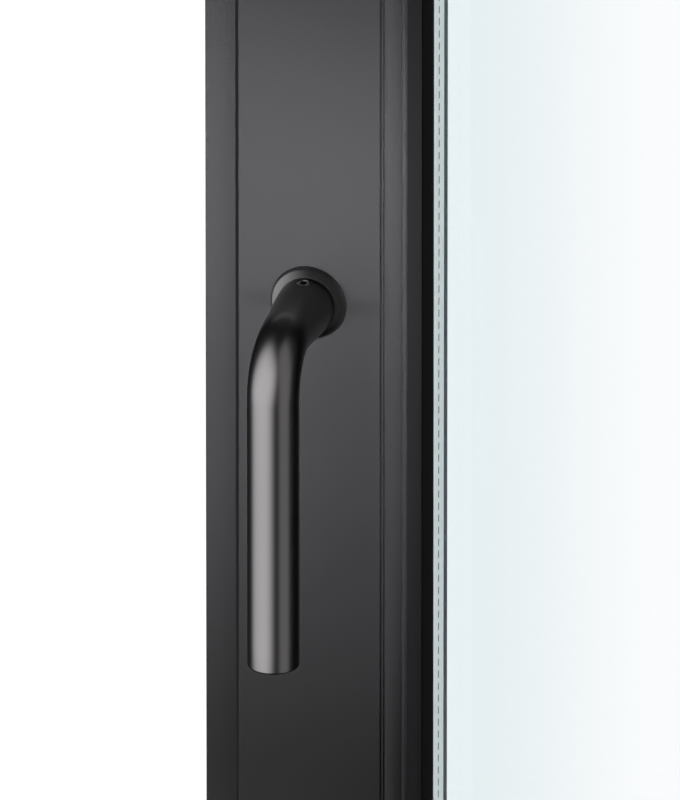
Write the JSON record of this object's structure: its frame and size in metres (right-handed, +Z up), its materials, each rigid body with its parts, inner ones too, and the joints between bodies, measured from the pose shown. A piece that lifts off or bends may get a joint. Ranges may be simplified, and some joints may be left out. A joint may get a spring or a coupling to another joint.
{
  "type": "casement window",
  "caption": "Inward-opening aluminium casement window with double glazing, a round turn lever and a locking rod inside the sash.",
  "frame": {"origin": "middle of the sill's flat underside", "axes": "+X right as seen from the room, -Y towards the room, +Y outdoors, +Z up"},
  "size_m": [0.6, 0.1377, 1],
  "materials": {
    "coat": "anthracite powder coat, fine texture, matt",
    "polyamide": "glass-filled polyamide, matt",
    "rubber": "black EPDM, matt",
    "glass": "clear float glass, polished",
    "spacer": "mill aluminium, satin, perforated",
    "zinc": "die-cast, fine grain",
    "steel": "zinc plated, satin",
    "hinge": "anthracite powder coat, satin",
    "lever": "dark anodised, satin"
  },
  "bodies": {
    "frame": {"frame_inner_left": "coat", "frame_inner_right": "coat", "frame_inner_bottom": "coat", "frame_inner_top": "coat", "frame_break_left": "polyamide", "frame_break_right": "polyamide", "frame_break_bottom": "polyamide", "frame_break_top": "polyamide", "frame_outer_left": "coat", "frame_outer_right": "coat", "frame_outer_bottom": "coat", "frame_outer_top": "coat", "centre_seal": "rubber", "upper_keep": "zinc", "lower_keep": "zinc", "upper_hinge_frame_leaf": "hinge", "upper_hinge_pin": "hinge", "lower_hinge_frame_leaf": "hinge", "lower_hinge_pin": "hinge"},
    "sash": {"sash_inner_left": "coat", "sash_outer_left": "coat", "sash_break_left": "polyamide", "bead_left": "coat", "sash_inner_right": "coat", "sash_outer_right": "coat", "sash_break_right": "polyamide", "bead_right": "coat", "sash_inner_bottom": "coat", "sash_outer_bottom": "coat", "sash_break_bottom": "polyamide", "bead_bottom": "coat", "sash_inner_top": "coat", "sash_outer_top": "coat", "sash_break_top": "polyamide", "bead_top": "coat", "stop_seal": "rubber", "room_gasket": "rubber", "outer_gasket": "rubber", "edge_seal": "rubber", "inner_pane": "glass", "outer_pane": "glass", "spacer_bar": "spacer", "setting_block_left": "polyamide", "setting_block_right": "polyamide", "gear_case": "zinc", "rosette_base": "zinc", "upper_fixing_screw": "steel", "lower_fixing_screw": "steel", "upper_hinge_sash_leaf": "hinge", "lower_hinge_sash_leaf": "hinge", "rosette_cover": "lever"},
    "handle": {"lever": "lever", "spindle": "steel", "pinion": "steel", "grub_screw": "steel"},
    "drive_rod": {"upper_drive_rod": "steel", "lower_drive_rod": "steel", "upper_locking_cam": "steel", "lower_locking_cam": "steel"}
  },
  "joints": [
    {"name": "sash_swing", "type": "hinge", "parent": "frame", "child": "sash", "pos_m": [0.287, -0.0513, 0.5], "axis": [0, 0, 1], "range_deg": [0, 90]},
    {"name": "handle_turn", "type": "hinge", "parent": "sash", "child": "handle", "pos_m": [-0.257, -0.043, 0.5], "axis": [0, -1, 0], "range_deg": [0, 90]},
    {"name": "rod_slide", "type": "slide", "parent": "sash", "child": "drive_rod", "axis": [0, 0, -1], "range_m": [0, 0.0142]}
  ],
  "couplings": [
    {"joint": "rod_slide", "follows": "handle_turn", "m_per_rad": 0.009}
  ]
}
